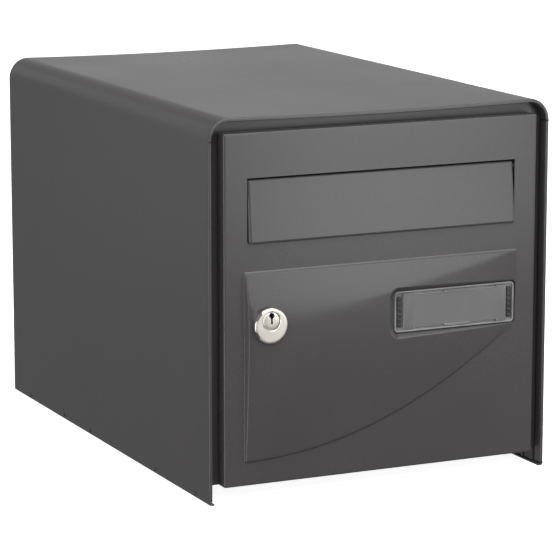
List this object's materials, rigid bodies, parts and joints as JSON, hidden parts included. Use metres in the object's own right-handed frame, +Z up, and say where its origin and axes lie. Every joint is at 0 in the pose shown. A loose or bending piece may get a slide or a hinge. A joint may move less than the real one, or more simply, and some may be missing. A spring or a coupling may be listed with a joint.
{
  "type": "wall mounted mailbox",
  "caption": "Boxy sheet metal mailbox for a wall, with a rounded hood, a side-hinged lockable front door, a lift-up mail flap and a name label holder.",
  "frame": {"origin": "middle of the back panel's outer face, on the wall plane", "axes": "+X to the right seen from the front, +Y back into the wall, +Z up; the door faces -Y"},
  "size_m": [0.2914, 0.4375, 0.294],
  "materials": {
    "hood_coat": "satin anthracite powder coat",
    "door_coat": "satin anthracite powder coat",
    "zinc_steel": "bright zinc plate",
    "nickel": "satin nickel plate",
    "black_nylon": "moulded",
    "black_rubber": "matt",
    "smoked_plastic": "clear, lightly smoked",
    "grey_card": "blank grey insert"
  },
  "bodies": {
    "housing": {"outer_hood": "hood_coat", "floor_pan": "hood_coat", "front_frame": "hood_coat", "back_panel": "hood_coat", "hinge_bracket_upper": "zinc_steel", "hinge_bracket_lower": "zinc_steel", "hinge_pin_upper": "zinc_steel", "hinge_pin_lower": "zinc_steel", "bump_stop_upper": "black_rubber", "bump_stop_lower": "black_rubber", "hood_rivet_left_1": "hood_coat", "hood_rivet_right_1": "hood_coat", "hood_rivet_left_2": "hood_coat", "hood_rivet_right_2": "hood_coat", "hood_rivet_left_3": "hood_coat", "hood_rivet_right_3": "hood_coat", "hood_rivet_left_4": "hood_coat", "hood_rivet_right_4": "hood_coat", "hood_rivet_left_5": "hood_coat", "hood_rivet_right_5": "hood_coat"},
    "door": {"door_panel": "door_coat", "mail_guard": "door_coat", "flap_rod": "zinc_steel", "rod_bracket_left": "zinc_steel", "rod_bracket_right": "zinc_steel", "rod_clip_left": "zinc_steel", "rod_clip_right": "zinc_steel", "hinge_bush_upper": "black_nylon", "hinge_bush_lower": "black_nylon", "lock_rosette": "nickel", "lock_barrel": "nickel", "lock_washer": "zinc_steel", "lock_nut": "zinc_steel", "label_holder": "black_nylon", "label_card": "grey_card", "label_window": "smoked_plastic", "label_grip_left": "black_nylon", "label_grip_right": "black_nylon"},
    "flap": {"mail_flap": "door_coat"},
    "lock_core": {"lock_plug": "nickel", "lock_cam": "zinc_steel", "cam_screw": "zinc_steel"}
  },
  "joints": [
    {"name": "door_hinge", "type": "hinge", "parent": "housing", "child": "door", "pos_m": [0.1287, -0.422, 0.0005], "axis": [0, 0, 1], "range_deg": [0, 105]},
    {"name": "flap_hinge", "type": "hinge", "parent": "door", "child": "flap", "pos_m": [0, -0.4211, 0.095], "axis": [-1, 0, 0], "range_deg": [0, 80]},
    {"name": "lock_turn", "type": "hinge", "parent": "door", "child": "lock_core", "pos_m": [-0.0983, -0.42, -0.0065], "axis": [0, 1, 0], "range_deg": [0, 90]}
  ]
}
